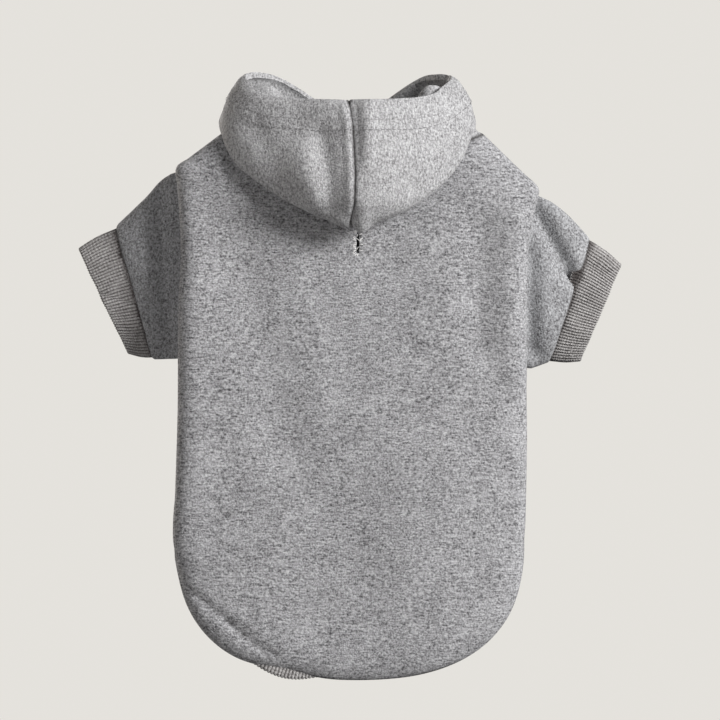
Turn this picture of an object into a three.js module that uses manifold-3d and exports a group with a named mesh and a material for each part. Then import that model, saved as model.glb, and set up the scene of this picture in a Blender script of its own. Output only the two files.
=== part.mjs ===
// A hooded fleece top for a small dog, in the form it takes when it hangs from inside its neck.
// Millimetres, +Z up. The wide back faces -Y, the belly faces +Y, and +X is on the right for
// someone who looks at the back. The origin is inside the neck, level with the shoulder points.
import * as THREE from 'three';
import { mergeVertices } from 'three/addons/utils/BufferGeometryUtils.js';
import Module from 'manifold-3d';

// Cloth, knit and the gap between sewn pieces.
const CLOTH = 2.2;
const RIB_KNIT = 2.6;
const RIB_RELIEF = 0.35;
const CLEARANCE = 0.3;

// The body: a flattened tube with a rounded tail that is longer than the belly.
const BODY_WIDTH = 186;
const BACK_SWELL = 20;
const BELLY_SWELL = 28;
const BACK_LENGTH = 290;
const BELLY_LENGTH = 190;
const SIDE_LENGTH = 216;
const HEM_TURN = 6;
const HEM_ROLL = 5;
const HEM_RIB_WIDTH = 20;

// The neck opening.
const NECK_WIDTH = 139;
const NECK_BACK = 15;
const NECK_FRONT = 22;
const NECK_BACK_DROP = 12;
const NECK_FRONT_DROP = 26;

// The hood, which lies back in a pouch below its face edge.
const HOOD_RISE = 34;
const HOOD_DROP = 51;
const HOOD_REACH = 21;
const STAND_FOLD = 3;
const POUCH_FOLD = 4;
// Where the cloth that only stands up bends, as shares of the way from the neck to the stand,
// from there to the fold, and from the fold to the swell.
const STAND_BENDS = { neck: 0.6, low: 0.35, high: 0.7, swell: 0.5 };

// The sleeves and their cuffs.
const ARMHOLE_HEIGHT = 100;
const ARMHOLE_DROP = 69;
const ARMHOLE_DEPTH = 20;
const ARMHOLE_FORWARD = 12;
const SLEEVE_REACH = 24;
const SLEEVE_FORWARD = 4;
const CUFF_HEIGHT = 73;
const CUFF_DEPTH = 18;
const CUFF_REACH = 15.2;
const CUFF_LEAN = 25;

// The slit for a leash.
const SLIT_LENGTH = 12;
const SLIT_WIDTH = 1.6;
const SLIT_DROP = 58;
const SLIT_ASIDE = 3;

// How boxy a loop round the body, a sleeve or the tail is: 1 is an ellipse, less is boxier.
const LOOP_POWER = 0.8;
const LIMB_POWER = 0.86;

// Loops round the body from the shoulder tips down. Half widths are shares of half of BODY_WIDTH,
// depths of BACK_SWELL and BELLY_SWELL, and drops of SIDE_LENGTH, BACK_LENGTH and BELLY_LENGTH.
// round says how fast the level changes from the sides to the middle of the back.
const BODY_COLUMNS = [
  'left', 'right', 'back', 'belly', 'leftDrop', 'rightDrop', 'backDrop', 'bellyDrop', 'round',
];
const BODY_TABLE = [
  [1.01, 1.07, 0.915, 0.945, 0.081, 0.13, 0.107, 0.226, 2],
  [1.005, 1.065, 0.94, 0.965, 0.116, 0.157, 0.131, 0.253, 2],
  [0.984, 1.027, 0.965, 0.98, 0.194, 0.222, 0.179, 0.305, 2],
  [0.973, 1.005, 0.98, 1, 0.287, 0.306, 0.241, 0.379, 2],
  [0.984, 1, 1, 1, 0.417, 0.417, 0.345, 0.495, 2],
  [0.989, 1, 1, 1, 0.579, 0.579, 0.476, 0.642, 1.6],
  [0.995, 1.005, 1, 0.98, 0.741, 0.741, 0.621, 0.779, 1.3],
  [1.005, 1, 0.975, 0.965, 0.88, 0.88, 0.766, 0.895, 1.1],
  [1.016, 0.995, 0.95, 0.93, 0.949, 0.949, 0.879, 0.947, 0.9],
];
const SHOULDER_SHARES = [0, 0.34, 0.74];
const TAIL = { left: 1.006, right: 0.985, back: 0.9, belly: 0.9 };

// Stations round the hood, from its seam at the back (around 0) to its front edge (around 1).
// The cloth rises from the neck to a stand, folds down to the pouch's lowest line, swells out
// and rises to the face edge, called rim here. X is a share of half of NECK_WIDTH, out a share
// of HOOD_REACH, and Z a share of HOOD_RISE above the origin or of HOOD_DROP below it.
// folded is 1 where the cloth doubles back and 0 where it only stands up.
const HOOD_COLUMNS = [
  'around', 'standX', 'standZ', 'foldX', 'foldOut', 'foldZ', 'swellX', 'swellOut', 'swellZ',
  'rimX', 'rimOut', 'rimZ', 'folded',
];
const HOOD_TABLE = {
  left: [
    [0, 0, 0.12, 0, 0.43, -0.98, 0, 1, -0.35, 0, 0.81, 0.485, 1],
    [0.12, 0.43, 0.35, 0.36, 0.48, -0.775, 0.39, 1.1, -0.235, 0.36, 0.86, 0.515, 1],
    [0.22, 0.6, 0.735, 0.647, 0.51, -0.543, 0.676, 1.09, -0.06, 0.62, 0.8, 0.574, 1],
    [0.33, 0.806, 0.59, 0.892, 0.395, -0.255, 0.892, 0.73, 0.176, 0.77, 0.49, 0.735, 0.85],
    [0.45, 0.95, 0.147, 1, 0.215, 0.118, 0.95, 0.26, 0.5, 0.83, 0.167, 0.93, 0.2],
    [0.6, 0.957, 0.118, 0.957, 0.02, 0.324, 0.88, 0.02, 0.618, 0.73, 0.02, 1, 0],
    [0.8, 0.6475, -0.176, 0.64, 0.14, 0, 0.604, 0.186, 0.353, 0.49, 0.16, 0.853, 0],
    [1, 0, -0.373, 0, 0.214, -0.216, 0, 0.286, -0.06, 0, 0.333, 0.176, 0],
  ],
  right: [
    [0, 0, 0.12, 0, 0.43, -1, 0, 1, -0.35, 0, 0.81, 0.485, 1],
    [0.12, 0.42, 0.35, 0.39, 0.48, -0.794, 0.4, 1.1, -0.235, 0.374, 0.86, 0.51, 1],
    [0.22, 0.56, 0.735, 0.62, 0.51, -0.578, 0.65, 1.09, -0.06, 0.604, 0.8, 0.58, 1],
    [0.33, 0.75, 0.56, 0.806, 0.395, -0.294, 0.835, 0.73, 0.176, 0.705, 0.49, 0.735, 0.85],
    [0.45, 0.885, 0.147, 0.928, 0.215, 0.118, 0.892, 0.26, 0.5, 0.78, 0.167, 0.9, 0.2],
    [0.6, 0.93, 0.118, 0.892, 0.02, 0.324, 0.82, 0.02, 0.618, 0.67, 0.02, 0.97, 0],
    [0.8, 0.63, -0.176, 0.61, 0.14, 0, 0.57, 0.186, 0.353, 0.475, 0.16, 0.86, 0],
    [1, 0, -0.373, 0, 0.214, -0.216, 0, 0.286, -0.06, 0, 0.333, 0.176, 0],
  ],
};

// Sections along each sleeve. reach is a share of SLEEVE_REACH out from the body's side, fall of
// ARMHOLE_DROP, lean of CUFF_LEAN, and forward of SLEEVE_FORWARD. size scales the height, which
// narrows from ARMHOLE_HEIGHT (narrow 0) to CUFF_HEIGHT (narrow 1).
const SLEEVE_COLUMNS = ['reach', 'fall', 'size', 'narrow', 'lean', 'forward'];
const SLEEVE_TABLE = {
  left: [
    [-1.38, 0.96, 1, 0, 0, -2],
    [0, 1, 1, 0, 0.08, 0],
    [0.5, 1.11, 1, 0.5, 0.36, 0.5],
    [1, 1.21, 1.02, 1, 0.64, 1],
  ],
  right: [
    [-1.38, 1.07, 0.94, 0, 0, -2],
    [0, 1.116, 0.94, 0, 0.08, 0],
    [0.5, 1.18, 0.995, 0.5, 0.38, 0.5],
    [1, 1.272, 0.96, 1, 0.756, 1],
  ],
};
// The same for the cuffs, with reach a share of CUFF_REACH out from the sleeve's end.
const CUFF_COLUMNS = ['reach', 'fall', 'size', 'lean'];
const CUFF_TABLE = {
  left: [
    [0, 1.214, 1, 0.66],
    [0.5, 1.243, 0.945, 0.82],
    [1, 1.272, 0.87, 1.01],
  ],
  right: [
    [0, 1.276, 0.94, 0.768],
    [0.5, 1.319, 0.88, 0.84],
    [1, 1.362, 0.792, 0.91],
  ],
};

// Where the side seams run on the belly side, as an angle from the body's side.
const SIDE_SEAM_ANGLE = 24;
const FULL_TURN = 360;

// Facets.
const BACK_FACETS = 32;
const BELLY_FACETS = 12;
const HOOD_FACETS = 11;
const HOOD_STEPS = 3;
const SLEEVE_FACETS = 24;
const SLEEVE_STEPS = 2;
const CUFF_RIBS = 40;
const HEM_RIBS = 36;

const BACK_GREY = 0x9a9b9e;
const BELLY_GREY = 0x929397;
const HOOD_GREY = 0xa6a7aa;
const SLEEVE_GREY = 0x8e8f92;
const RIB_GREY = 0xa19d9a;
const CLOTH_ROUGHNESS = 0.95;

const wasm = await Module();
wasm.setup();

const lerp = THREE.MathUtils.lerp;
const radians = THREE.MathUtils.degToRad;
const rowsOf = (columns, table) =>
  table.map((row) => Object.fromEntries(columns.map((name, k) => [name, row[k]])));

// A smooth row between the rows of a table, at a place along its first column or its row number.
function smoothRows(columns, table, placeOf) {
  const places = table.map((row, k) => placeOf(row, k));
  const spline = new THREE.CubicInterpolant(places, table.flat(), columns.length);
  return (place) => {
    const values = spline.evaluate(place);
    return Object.fromEntries(columns.map((name, k) => [name, values[k]]));
  };
}

// The outward direction of a grid of points, grid[across][down].
function outwardAt(grid, i, j, closed) {
  const columns = grid.length;
  const last = grid[0].length - 1;
  const before = closed ? (i + columns - 1) % columns : Math.max(i - 1, 0);
  const after = closed ? (i + 1) % columns : Math.min(i + 1, columns - 1);
  const across = grid[after][j].clone().sub(grid[before][j]);
  const down = grid[i][Math.min(j + 1, last)].clone().sub(grid[i][Math.max(j - 1, 0)]);
  return down.cross(across).normalize();
}

function offsetGrid(grid, closed, distanceAt) {
  return grid.map((column, i) =>
    column.map((point, j) =>
      point.clone().addScaledVector(outwardAt(grid, i, j, closed), distanceAt(i)),
    ),
  );
}

function solidOf(points, faces) {
  const geometry = new THREE.BufferGeometry().setFromPoints(points);
  geometry.setIndex(faces);
  return new wasm.Manifold(
    new wasm.Mesh({
      numProp: 3,
      vertProperties: new Float32Array(geometry.getAttribute('position').array),
      triVerts: new Uint32Array(geometry.index.array),
    }),
  );
}

// A wall of cloth on both sides of a grid of points. ridge makes every second column
// thicker and the others thinner, as rib knit is.
function clothWall(grid, closed, thickness, ridge = 0) {
  const halfAt = (i) => thickness / 2 + (i % 2 ? ridge : -ridge);
  return wallBetween(
    offsetGrid(grid, closed, halfAt),
    offsetGrid(grid, closed, (i) => -halfAt(i)),
    closed,
  );
}

function wallBetween(outer, inner, closed) {
  const columns = outer.length;
  const rows = outer[0].length;
  const points = [...outer.flat(), ...inner.flat()];
  const at = (skin, i, j) => (skin * columns + (i % columns)) * rows + j;
  const faces = [];
  const quad = (a, b, c, d) => faces.push(a, b, c, a, c, d);
  const spans = closed ? columns : columns - 1;
  for (let i = 0; i < spans; i++) {
    for (let j = 0; j < rows - 1; j++) {
      quad(at(0, i, j), at(0, i, j + 1), at(0, i + 1, j + 1), at(0, i + 1, j));
      quad(at(1, i, j), at(1, i + 1, j), at(1, i + 1, j + 1), at(1, i, j + 1));
    }
    quad(at(0, i, 0), at(0, i + 1, 0), at(1, i + 1, 0), at(1, i, 0));
    quad(at(0, i + 1, rows - 1), at(0, i, rows - 1), at(1, i, rows - 1), at(1, i + 1, rows - 1));
  }
  if (!closed) {
    for (let j = 0; j < rows - 1; j++) {
      quad(at(0, 0, j + 1), at(0, 0, j), at(1, 0, j), at(1, 0, j + 1));
      quad(at(0, spans, j), at(0, spans, j + 1), at(1, spans, j + 1), at(1, spans, j));
    }
  }
  return solidOf(points, faces);
}

// A solid plug inside a closed grid of loops, grown by a distance.
function filledTube(grid, growth) {
  const columns = grid.length;
  const rows = grid[0].length;
  const skin = offsetGrid(grid, true, () => growth);
  const middleOf = (j) =>
    skin.reduce((sum, column) => sum.add(column[j]), new THREE.Vector3()).divideScalar(columns);
  const points = [...skin.flat(), middleOf(0), middleOf(rows - 1)];
  const top = columns * rows;
  const at = (i, j) => (i % columns) * rows + j;
  const faces = [];
  for (let i = 0; i < columns; i++) {
    for (let j = 0; j < rows - 1; j++) {
      faces.push(at(i, j), at(i, j + 1), at(i + 1, j + 1));
      faces.push(at(i, j), at(i + 1, j + 1), at(i + 1, j));
    }
    faces.push(at(i, 0), at(i + 1, 0), top);
    faces.push(at(i + 1, rows - 1), at(i, rows - 1), top + 1);
  }
  return solidOf(points, faces);
}

// A plain block round the origin, for trimming and slitting.
function block(width, depth, height) {
  const box = new THREE.BoxGeometry(width, depth, height);
  box.deleteAttribute('normal');
  box.deleteAttribute('uv');
  const welded = mergeVertices(box);
  const position = welded.getAttribute('position');
  const corners = Array.from({ length: position.count }, (_, k) =>
    new THREE.Vector3().fromBufferAttribute(position, k),
  );
  return solidOf(corners, Array.from(welded.index.array));
}

// What trimming leaves beside the piece itself is dropped.
function mainPiece(solid) {
  return solid.decompose().reduce((best, one) => (one.volume() > best.volume() ? one : best));
}

function meshOf(name, solid, color) {
  const made = mainPiece(solid).getMesh();
  const geometry = new THREE.BufferGeometry();
  geometry.setAttribute('position', new THREE.BufferAttribute(made.vertProperties, made.numProp));
  geometry.setIndex(new THREE.BufferAttribute(made.triVerts, 1));
  geometry.computeVertexNormals();
  const material = new THREE.MeshStandardMaterial({
    color,
    roughness: CLOTH_ROUGHNESS,
    metalness: 0,
  });
  const mesh = new THREE.Mesh(geometry, material);
  mesh.name = name;
  return mesh;
}

// The loops of the body, in millimetres, in the middle of the cloth.
const NECK_LOOP = {
  left: NECK_WIDTH / 2,
  right: NECK_WIDTH / 2,
  back: NECK_BACK,
  belly: NECK_FRONT,
  leftDrop: 0,
  rightDrop: 0,
  backDrop: NECK_BACK_DROP,
  bellyDrop: NECK_FRONT_DROP,
  round: 2,
};

function sizedLoop(row) {
  return {
    left: (row.left * BODY_WIDTH - CLOTH) / 2,
    right: (row.right * BODY_WIDTH - CLOTH) / 2,
    back: row.back * BACK_SWELL - CLOTH / 2,
    belly: row.belly * BELLY_SWELL - CLOTH / 2,
    leftDrop: row.leftDrop * SIDE_LENGTH,
    rightDrop: row.rightDrop * SIDE_LENGTH,
    backDrop: row.backDrop * BACK_LENGTH,
    bellyDrop: row.bellyDrop * BELLY_LENGTH,
    round: row.round,
  };
}

function mixedLoop(a, b, share) {
  return Object.fromEntries(Object.keys(a).map((key) => [key, lerp(a[key], b[key], share)]));
}

// A loop that frames the bottom opening: the tail below, the belly's edge above. inset moves it
// towards the opening, rise moves it up the body, and forward moves the back towards the belly.
function hemLoop(inset, rise, forward) {
  const rim = CLOTH / 2 + inset;
  return {
    left: (TAIL.left * BODY_WIDTH) / 2 - rim,
    right: (TAIL.right * BODY_WIDTH) / 2 - rim,
    back: TAIL.back * BACK_SWELL - CLOTH / 2 - forward,
    belly: TAIL.belly * BELLY_SWELL - CLOTH / 2,
    leftDrop: SIDE_LENGTH - rise,
    rightDrop: SIDE_LENGTH - rise,
    backDrop: BACK_LENGTH - rim - rise,
    bellyDrop: BELLY_LENGTH + inset - rise,
    round: LOOP_POWER,
  };
}

function bodyLoops() {
  const loops = rowsOf(BODY_COLUMNS, BODY_TABLE).map(sizedLoop);
  const shoulders = SHOULDER_SHARES.map((share) => mixedLoop(NECK_LOOP, loops[0], share));
  const hem = [
    hemLoop(0, HEM_TURN, 0),
    hemLoop(0, 0, HEM_ROLL),
    hemLoop(HEM_TURN, 0, 2 * HEM_ROLL),
  ];
  return [...shoulders, ...loops, ...hem];
}

// A point of a loop. The angle runs from the right side over the belly, the left and the back.
function loopPoint(loop, angle) {
  const across = Math.cos(radians(angle));
  const deep = Math.sin(radians(angle));
  const half = across >= 0 ? loop.right : -loop.left;
  const depth = deep >= 0 ? loop.belly : -loop.back;
  const sideDrop = lerp(loop.leftDrop, loop.rightDrop, (1 + across) / 2);
  const middleDrop = deep >= 0 ? loop.bellyDrop : loop.backDrop;
  return new THREE.Vector3(
    half * Math.abs(across) ** LOOP_POWER,
    depth * Math.abs(deep) ** LOOP_POWER,
    -lerp(sideDrop, middleDrop, Math.abs(deep) ** loop.round),
  );
}

// The angle that lies half a clearance away from a seam along a loop.
function besideSeam(loop, seamAngle, way) {
  const perDegree = loopPoint(loop, seamAngle).distanceTo(loopPoint(loop, seamAngle + way));
  return seamAngle + (way * CLEARANCE) / 2 / perDegree;
}

// The cloth between two seams. One more column past each seam gives the edges the same
// outward direction as the cloth beyond them, and is then left off.
function panelWall(loops, firstSeam, lastSeam, facets, thickness) {
  const grid = Array.from({ length: facets + 3 }, (_, i) =>
    loops.map((loop) => {
      const from = besideSeam(loop, firstSeam, 1);
      const to = besideSeam(loop, lastSeam, -1);
      return loopPoint(loop, lerp(from, to, (i - 1) / facets));
    }),
  );
  const skins = [thickness / 2, -thickness / 2].map((distance) =>
    offsetGrid(grid, false, () => distance).slice(1, -1),
  );
  return wallBetween(...skins, false);
}

function ringGrid(loops, columns) {
  return Array.from({ length: columns }, (_, i) =>
    loops.map((loop) => loopPoint(loop, (i / columns) * FULL_TURN)),
  );
}

// A loop of a sleeve or cuff. Its top leans outwards. side is -1 on the left and 1 on the right.
function limbPoint(side, section, turn) {
  const round = turn * FULL_TURN;
  const rise = Math.sin(radians(round));
  const deep = Math.cos(radians(round));
  const up = new THREE.Vector3(
    side * Math.sin(radians(section.lean)),
    0,
    Math.cos(radians(section.lean)),
  );
  return new THREE.Vector3(side * section.out, section.forward, -section.drop)
    .addScaledVector(up, (Math.sign(rise) * Math.abs(rise) ** LIMB_POWER * section.height) / 2)
    .add(new THREE.Vector3(0, (-side * deep * section.depth) / 2, 0));
}

function limbGrid(side, sections, columns) {
  return Array.from({ length: columns }, (_, i) =>
    sections.map((section) => limbPoint(side, section, i / columns)),
  );
}

function sleeveSections(hand) {
  const smooth = smoothRows(SLEEVE_COLUMNS, SLEEVE_TABLE[hand], (row, k) => k);
  const steps = (SLEEVE_TABLE[hand].length - 1) * SLEEVE_STEPS;
  return Array.from({ length: steps + 1 }, (_, k) => {
    const row = smooth(k / SLEEVE_STEPS);
    const share = Math.max(row.narrow, 0);
    return {
      out: BODY_WIDTH / 2 + row.reach * SLEEVE_REACH,
      drop: row.fall * ARMHOLE_DROP,
      height: row.size * lerp(ARMHOLE_HEIGHT, CUFF_HEIGHT, share) - CLOTH,
      depth: lerp(ARMHOLE_DEPTH, CUFF_DEPTH, share) - CLOTH,
      lean: row.lean * CUFF_LEAN,
      forward: ARMHOLE_FORWARD + row.forward * SLEEVE_FORWARD,
    };
  });
}

function cuffSections(hand) {
  return rowsOf(CUFF_COLUMNS, CUFF_TABLE[hand]).map((row) => ({
    out: BODY_WIDTH / 2 + SLEEVE_REACH + 2 * CLEARANCE + row.reach * CUFF_REACH,
    drop: row.fall * ARMHOLE_DROP,
    height: row.size * CUFF_HEIGHT - RIB_KNIT,
    depth: row.size * CUFF_DEPTH - RIB_KNIT,
    lean: row.lean * CUFF_LEAN,
    forward: ARMHOLE_FORWARD + SLEEVE_FORWARD,
  }));
}

// The run of the hood's cloth from the neck to the rim at one station.
function hoodProfile(side, row) {
  const angle = (side * row.around * FULL_TURN) / 2 - FULL_TURN / 4;
  const neck = loopPoint(NECK_LOOP, angle);
  const away = new THREE.Vector3(Math.cos(radians(angle)), Math.sin(radians(angle)), 0);
  const up = new THREE.Vector3(0, 0, 1);
  const deep = Math.abs(away.y) ** LOOP_POWER;
  const base = away.y < 0 ? -BACK_SWELL * deep : NECK_FRONT * deep;
  const half = NECK_WIDTH / 2;
  const facing = away.y < 0 ? -1 : 1;
  const height = (share) => share * (share > 0 ? HOOD_RISE : HOOD_DROP);
  const placed = (x, out, z) =>
    new THREE.Vector3(side * x * half, base + facing * out * HOOD_REACH, height(z));
  const stand = new THREE.Vector3(side * row.standX * half, neck.y, height(row.standZ));
  stand.addScaledVector(away, STAND_FOLD * row.folded);
  const fold = placed(row.foldX, row.foldOut, row.foldZ);
  const swell = placed(row.swellX, row.swellOut, row.swellZ);
  const rim = placed(row.rimX, row.rimOut, row.rimZ);
  const beside = (point, outwards, upwards) =>
    point.clone().addScaledVector(away, outwards).addScaledVector(up, upwards);
  const doubled = [
    neck,
    beside(stand, -STAND_FOLD, -STAND_FOLD),
    stand,
    beside(stand, STAND_FOLD, -STAND_FOLD),
    beside(fold, -POUCH_FOLD, POUCH_FOLD),
    fold,
    beside(fold, POUCH_FOLD, POUCH_FOLD),
    swell,
    rim,
  ];
  const between = (a, b, share) => a.clone().lerp(b, share);
  const standing = [
    neck,
    between(neck, stand, STAND_BENDS.neck),
    stand,
    between(stand, fold, STAND_BENDS.low),
    between(stand, fold, STAND_BENDS.high),
    fold,
    between(fold, swell, STAND_BENDS.swell),
    swell,
    rim,
  ];
  const points = standing.map((point, k) => between(point, doubled[k], row.folded));
  return new THREE.CatmullRomCurve3(points, false, 'centripetal');
}

function hoodHalf(side, hand) {
  const smooth = smoothRows(HOOD_COLUMNS, HOOD_TABLE[hand], (row) => row[0]);
  const grid = Array.from({ length: HOOD_FACETS + 1 }, (_, i) => {
    const row = smooth(i / HOOD_FACETS);
    row.folded = THREE.MathUtils.clamp(row.folded, 0, 1);
    const curve = hoodProfile(side, row);
    const steps = (curve.points.length - 1) * HOOD_STEPS;
    return Array.from({ length: steps + 1 }, (_, j) => curve.getPoint(j / steps));
  });
  const farSide = block(NECK_WIDTH, 2 * NECK_WIDTH, 2 * NECK_WIDTH);
  const seamX = side * (CLEARANCE / 2 - NECK_WIDTH / 2);
  return clothWall(grid, false, CLOTH).subtract(farSide.translate([seamX, 0, 0]));
}

const LOOPS = bodyLoops();
const BODY_PLUG = filledTube(ringGrid(LOOPS, BACK_FACETS + BELLY_FACETS), CLOTH / 2 + CLEARANCE);
const RIGHT_SEAM = SIDE_SEAM_ANGLE;
const LEFT_SEAM = FULL_TURN / 2 - SIDE_SEAM_ANGLE;

function armholeCutter(side, hand) {
  const grid = limbGrid(side, sleeveSections(hand), SLEEVE_FACETS);
  return filledTube(grid, CLOTH / 2 + CLEARANCE);
}

const ARMHOLES = armholeCutter(-1, 'left').add(armholeCutter(1, 'right'));
const LEASH_SLIT = block(SLIT_WIDTH, BACK_SWELL, SLIT_LENGTH).translate([
  SLIT_ASIDE,
  -BACK_SWELL,
  -SLIT_DROP,
]);

function backWall(loops, thickness) {
  return panelWall(loops, LEFT_SEAM, RIGHT_SEAM + FULL_TURN, BACK_FACETS, thickness);
}

function bellyWall(loops, thickness) {
  return panelWall(loops, RIGHT_SEAM, LEFT_SEAM, BELLY_FACETS, thickness);
}

// The knit starts at the edge of the rolled cloth, a clearance away from it all round.
function hemRib() {
  const inner = hemLoop(HEM_TURN + HEM_RIB_WIDTH, 0, 2 * HEM_ROLL);
  const knit = ringGrid([hemLoop(HEM_TURN, 0, 2 * HEM_ROLL), inner], 2 * HEM_RIBS);
  const longer = [...LOOPS.slice(0, -1), hemLoop(HEM_TURN + CLEARANCE, 0, 2 * HEM_ROLL)];
  const grown = CLOTH + 2 * CLEARANCE;
  return clothWall(knit, true, RIB_KNIT, RIB_RELIEF)
    .subtract(backWall(longer, grown))
    .subtract(bellyWall(longer, grown));
}

function sleeve(side, hand) {
  const grid = limbGrid(side, sleeveSections(hand), SLEEVE_FACETS);
  return clothWall(grid, true, CLOTH).subtract(BODY_PLUG);
}

function cuff(side, hand) {
  const grid = limbGrid(side, cuffSections(hand), 2 * CUFF_RIBS);
  return clothWall(grid, true, RIB_KNIT, RIB_RELIEF);
}

const group = new THREE.Group();
group.add(
  meshOf('back_panel', backWall(LOOPS, CLOTH).subtract(ARMHOLES).subtract(LEASH_SLIT), BACK_GREY),
  meshOf('belly_panel', bellyWall(LOOPS, CLOTH).subtract(ARMHOLES), BELLY_GREY),
  meshOf('hem_rib', hemRib(), RIB_GREY),
);
for (const [side, hand] of [[-1, 'left'], [1, 'right']]) {
  group.add(
    meshOf('hood_' + hand, hoodHalf(side, hand).subtract(BODY_PLUG), HOOD_GREY),
    meshOf('sleeve_' + hand, sleeve(side, hand), SLEEVE_GREY),
    meshOf('cuff_' + hand, cuff(side, hand), RIB_GREY),
  );
}

export default group;
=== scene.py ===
# A hooded fleece top for a small dog, as it hangs from inside its neck. Metres, +Z up. The wide
# back faces -Y, the belly +Y, and +X is on the right for someone who looks at the back.
import math
from contextlib import contextmanager

import bmesh
import bpy
import numpy as np
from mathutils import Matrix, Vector, noise
from mathutils.bvhtree import BVHTree


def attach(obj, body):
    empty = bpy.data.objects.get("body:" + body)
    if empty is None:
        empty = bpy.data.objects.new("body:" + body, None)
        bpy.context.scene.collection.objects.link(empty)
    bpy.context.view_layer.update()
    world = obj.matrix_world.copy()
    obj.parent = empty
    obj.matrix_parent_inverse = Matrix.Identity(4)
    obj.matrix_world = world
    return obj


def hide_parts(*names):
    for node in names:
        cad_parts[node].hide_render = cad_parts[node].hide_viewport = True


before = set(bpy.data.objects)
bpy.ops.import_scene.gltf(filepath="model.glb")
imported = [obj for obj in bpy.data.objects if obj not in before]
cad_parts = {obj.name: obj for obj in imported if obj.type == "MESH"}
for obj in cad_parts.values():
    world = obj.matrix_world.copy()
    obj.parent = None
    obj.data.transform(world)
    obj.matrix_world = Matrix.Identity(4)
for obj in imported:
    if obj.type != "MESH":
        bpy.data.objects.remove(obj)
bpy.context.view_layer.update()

bpy.ops.object.select_all(action="DESELECT")


# The back panel: the wide piece from the neck to the rounded tail, of brushed sweatshirt knit in
# heather grey. It wraps round to side seams on the belly side, its bottom edge is rolled under,
# and it has a buttonhole for a leash.
class Strand:
    """A socket of a finish. Arithmetic on it adds Math nodes."""

    def __init__(self, finish, socket):
        self.finish = finish
        self.socket = socket

    def math(self, operation, *values):
        return self.finish.node("Math", {"operation": operation}, dict(enumerate(values)))

    def __add__(self, other):
        return self.math("ADD", self, other)

    def __radd__(self, other):
        return self.math("ADD", other, self)

    def __sub__(self, other):
        return self.math("SUBTRACT", self, other)

    def __mul__(self, other):
        return self.math("MULTIPLY", self, other)


class Finish:
    """A material made of nodes. Values go to the shader's own sockets by their names."""

    def __init__(self, name, **constants):
        self.material = bpy.data.materials.new(name)
        self.material.use_nodes = True
        self.tree = self.material.node_tree
        self.shader = self.tree.nodes["Principled BSDF"]
        self.wear(**constants)

    def node(self, kind, settings=None, sockets=None, output=0):
        made = self.tree.nodes.new("ShaderNode" + kind)
        for name, value in (settings or {}).items():
            setattr(made, name, value)
        for name, value in (sockets or {}).items():
            self.feed(made.inputs[name], value)
        return Strand(self, made.outputs[output])

    def feed(self, socket, value):
        if isinstance(value, Strand):
            self.tree.links.new(value.socket, socket)
        else:
            socket.default_value = value

    def wear(self, **values):
        for name, value in values.items():
            self.feed(self.shader.inputs[name.replace("_", " ")], value)


def noise_of(finish, place, scale, roughness):
    """Noise with so many features to a metre, from -1 to 1 or so."""
    grain = finish.node(
        "TexNoise",
        {"noise_dimensions": "3D"},
        {"Vector": place, "Scale": scale, "Detail": 2.0, "Roughness": roughness},
    )
    return (grain - 0.5) * 4.0


def between(finish, share, dark, pale):
    """The colour at a share of the way between two colours."""
    return finish.node("Mix", {"data_type": "RGBA"}, {"Factor": share, 6: dark, 7: pale}, output=2)


# Noises of the fleece: how many features to a metre, and their share of the tone.
FIBRE_SCALE, FIBRE_SHARE = 950.0, 0.45
PATCH_SCALE, PATCH_SHARE = 60.0, 0.08
STREAK_RELIEF = 0.5
# The colour of painted shade. Creases, seam grooves and the turned-in sleeve ends are darkened
# towards it.
PAINTED_SHADE_COLOUR = (0.022, 0.019, 0.018, 1.0)


def heather(name, pale, dark, along, fleck=0.3):
    """Heather fleece: dark and pale fibres, flecked along the rows of the knit over softer
    patches. along is the size of a fleck in metres along X, Y and Z."""
    finish = Finish(
        name, Roughness=0.92, Specular_IOR_Level=0.15, Sheen_Weight=0.12, Sheen_Roughness=0.55
    )
    place = finish.node("TexCoord", output=3)
    rows = finish.node("Mapping", {"vector_type": "TEXTURE"}, {"Vector": place, "Scale": along})
    streaks = noise_of(finish, rows, 1.0, 0.5)
    fibres = noise_of(finish, place, FIBRE_SCALE, 0.6)
    patches = noise_of(finish, place, PATCH_SCALE, 0.5)
    shade = 0.5 + streaks * fleck + fibres * FIBRE_SHARE + patches * PATCH_SHARE
    picked = finish.node("Clamp", sockets={0: shade})
    # Painted shade: a number that each piece carries for each point darkens the cloth towards that
    # colour.
    painted_shade = finish.node("Attribute", {"attribute_name": "painted_shade"}, output=2)
    cloth = between(finish, picked, (*dark, 1.0), (*pale, 1.0))
    relief = streaks * STREAK_RELIEF + fibres
    bump = finish.node("Bump", sockets={"Strength": 0.35, "Distance": 0.0003, "Height": relief})
    finish.wear(Base_Color=between(finish, painted_shade, cloth, PAINTED_SHADE_COLOUR), Normal=bump)
    return finish.material


body_fleece = heather(
    "body_fleece",
    pale=(0.465, 0.465, 0.48),
    dark=(0.05, 0.048, 0.052),
    along=(0.0032, 0.0032, 0.0008),
)
CLOTH = 0.0022
BODY_WIDTH = 0.186
BACK_SWELL = 0.020
BELLY_SWELL = 0.028
BACK_LENGTH = 0.290
BELLY_LENGTH = 0.190
SIDE_LENGTH = 0.216
HEM_TURN = 0.006
HEM_ROLL = 0.0036
NECK_WIDTH = 0.139
NECK_BACK = 0.015
NECK_FRONT = 0.022
NECK_BACK_DROP = 0.012
NECK_FRONT_DROP = 0.026
LOOP_POWER = 0.8
SWELL_POWER = 0.36
SIDE_SEAM_ANGLE = math.radians(24)
LEFT_SEAM = math.pi - SIDE_SEAM_ANGLE
RIGHT_SEAM = SIDE_SEAM_ANGLE
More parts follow.
